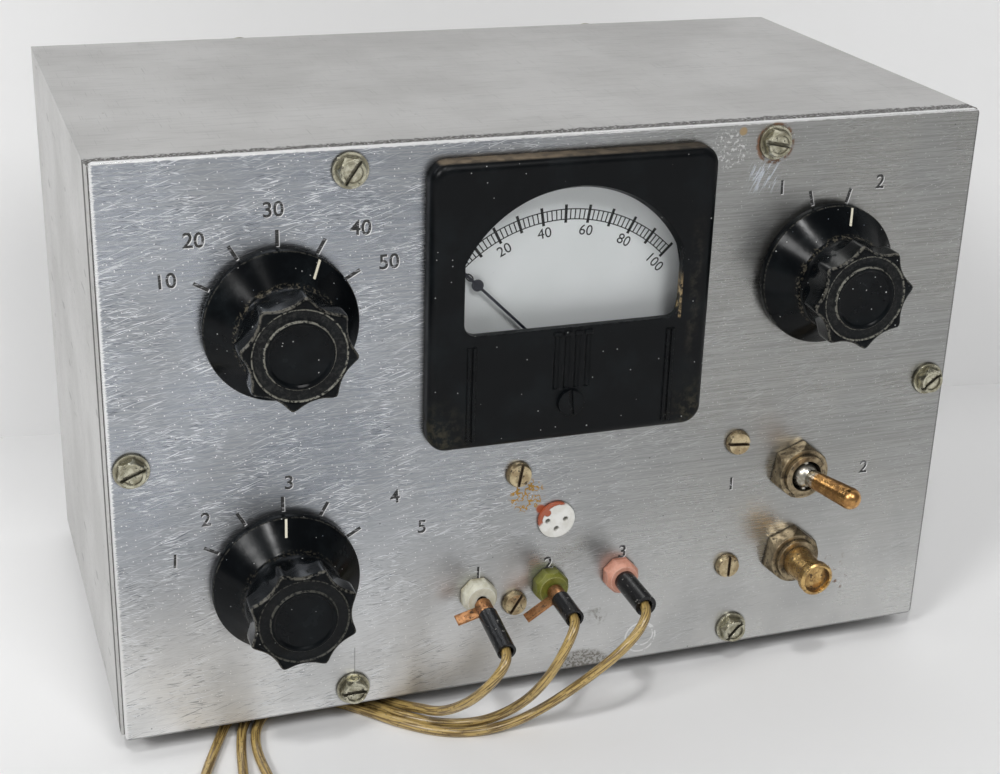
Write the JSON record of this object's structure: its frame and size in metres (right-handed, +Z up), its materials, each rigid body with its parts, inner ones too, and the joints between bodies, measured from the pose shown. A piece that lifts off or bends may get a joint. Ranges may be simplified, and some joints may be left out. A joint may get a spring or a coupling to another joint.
{
  "type": "bench transistor tester",
  "caption": "Sheet-metal bench tester with a moving-coil meter, skirted rotary knobs, a toggle, a push button, a transistor socket and clip leads in tip jacks.",
  "frame": {"origin": "on the floor, under the middle of the cabinet with its controls and without its leads", "axes": "+Z up, the front panel faces -Y, +X to the user's right"},
  "size_m": [0.2302, 0.2372, 0.157],
  "materials": {
    "panel_aluminium": "brushed, scuffed",
    "cabinet_aluminium": "bare folded sheet, dull and scuffed",
    "screw_steel": "plated, yellowed",
    "nut_brass": "aged plating over brass",
    "lever_metal": "worn plating",
    "shaft_metal": "plain",
    "bakelite": "polished black",
    "meter_black": "semi-gloss black",
    "clear_glass": "clear",
    "dial_paint": "matte off-white",
    "pointer_black": "matte black",
    "magnet_steel": "plain",
    "movement_brass": "plain",
    "phenolic": "laminate",
    "spring_steel": "plain",
    "socket_white": "satin",
    "contact_metal": "plain",
    "jack_white": "milky nylon",
    "jack_green": "olive nylon",
    "jack_red": "salmon nylon",
    "copper": "dull copper",
    "sleeve_black": "black sleeving",
    "lead_amber": "amber translucent",
    "foot_rubber": "black",
    "resistor_brown": "moulded",
    "holder_black": "moulded",
    "cell_jacket": "jacket",
    "wire_jacket": "insulated",
    "clip_steel": "plated"
  },
  "bodies": {
    "cabinet": {"base_jack": "jack_green", "base_lead": "lead_amber", "battery_cells": "cell_jacket", "battery_holder": "holder_black", "board_spacers": "nut_brass", "cabinet_shell": "cabinet_aluminium", "clip_lower_jaws": "clip_steel", "collector_jack": "jack_red", "collector_lead": "lead_amber", "emitter_jack": "jack_white", "emitter_lead": "lead_amber", "foot_screws": "screw_steel", "front_panel": "panel_aluminium", "front_panel_screws": "screw_steel", "hookup_wires": "wire_jacket", "machine_screws": "screw_steel", "meter_bridges": "movement_brass", "meter_can": "meter_black", "meter_core": "magnet_steel", "meter_cover": "meter_black", "meter_dial": "dial_paint", "meter_glass": "clear_glass", "meter_hairspring": "movement_brass", "meter_magnet": "magnet_steel", "meter_nuts": "nut_brass", "meter_studs": "nut_brass", "panel_nuts": "nut_brass", "plug_sleeves": "sleeve_black", "push_body": "phenolic", "push_spring": "spring_steel", "rear_panel": "cabinet_aluminium", "rear_panel_screws": "screw_steel", "resistor_board": "phenolic", "resistors": "resistor_brown", "rubber_feet": "foot_rubber", "small_switch_bushings": "nut_brass", "socket_contacts": "contact_metal", "switch_bushings": "nut_brass", "switch_nuts": "nut_brass", "switch_wafers": "phenolic", "test_plugs": "copper", "toggle_body": "phenolic", "transistor_socket": "socket_white"},
    "range_switch": {"range_knob": "bakelite", "range_set_screw": "screw_steel", "range_shaft": "shaft_metal"},
    "function_switch": {"function_knob": "bakelite", "function_set_screw": "screw_steel", "function_shaft": "shaft_metal"},
    "polarity_switch": {"polarity_knob": "bakelite", "polarity_set_screw": "screw_steel", "polarity_shaft": "shaft_metal"},
    "toggle": {"toggle_lever": "lever_metal"},
    "push_button": {"push_plunger": "nut_brass"},
    "meter_movement": {"meter_coil": "movement_brass", "meter_pointer": "pointer_black"},
    "zero_adjuster": {"meter_zero_screw": "meter_black"},
    "emitter_jaw": {"emitter_clip_jaw": "clip_steel"},
    "base_jaw": {"base_clip_jaw": "clip_steel"},
    "collector_jaw": {"collector_clip_jaw": "clip_steel"}
  },
  "joints": [
    {"name": "range_turn", "type": "hinge", "parent": "cabinet", "child": "range_switch", "pos_m": [-0.0725, -0.0541, 0.1157], "axis": [0, 1, 0], "range_deg": [-90, 30]},
    {"name": "function_turn", "type": "hinge", "parent": "cabinet", "child": "function_switch", "pos_m": [-0.0726, -0.0541, 0.0467], "axis": [0, 1, 0], "range_deg": [-60, 60]},
    {"name": "polarity_turn", "type": "hinge", "parent": "cabinet", "child": "polarity_switch", "pos_m": [0.0725, -0.0541, 0.116], "axis": [0, 1, 0], "range_deg": [-30, 0]},
    {"name": "toggle_throw", "type": "hinge", "parent": "cabinet", "child": "toggle", "pos_m": [0.071, -0.0586, 0.0589], "axis": [0, 0, 1], "range_deg": [-32, 0]},
    {"name": "button_press", "type": "slide", "parent": "cabinet", "child": "push_button", "axis": [0, 1, 0], "range_m": [0, 0.0025], "stiffness_N_per_m": 800, "springref_m": -0.001, "deforming": ["push_spring"]},
    {"name": "meter_swing", "type": "hinge", "parent": "cabinet", "child": "meter_movement", "pos_m": [0.0008, -0.0541, 0.0969], "axis": [0, 1, 0], "range_deg": [0, 90.8], "stiffness_Nm_per_rad": 0.0001, "springref_deg": -11.46, "deforming": ["meter_hairspring"]},
    {"name": "zero_turn", "type": "hinge", "parent": "cabinet", "child": "zero_adjuster", "pos_m": [0.0008, -0.0541, 0.0888], "axis": [0, 1, 0], "range_deg": [-30, 30]},
    {"name": "emitter_clip_open", "type": "hinge", "parent": "cabinet", "child": "emitter_jaw", "pos_m": [-0.1036, -0.1321, 0.0044], "axis": [-1, 0, 0], "range_deg": [0, 20], "stiffness_Nm_per_rad": 0.1, "springref_deg": -17.19},
    {"name": "base_clip_open", "type": "hinge", "parent": "cabinet", "child": "base_jaw", "pos_m": [-0.0906, -0.1351, 0.0044], "axis": [-1, 0, 0], "range_deg": [0, 20], "stiffness_Nm_per_rad": 0.1, "springref_deg": -17.19},
    {"name": "collector_clip_open", "type": "hinge", "parent": "cabinet", "child": "collector_jaw", "pos_m": [-0.0782, -0.1371, 0.0044], "axis": [-1, 0, 0], "range_deg": [0, 20], "stiffness_Nm_per_rad": 0.1, "springref_deg": -17.19}
  ]
}
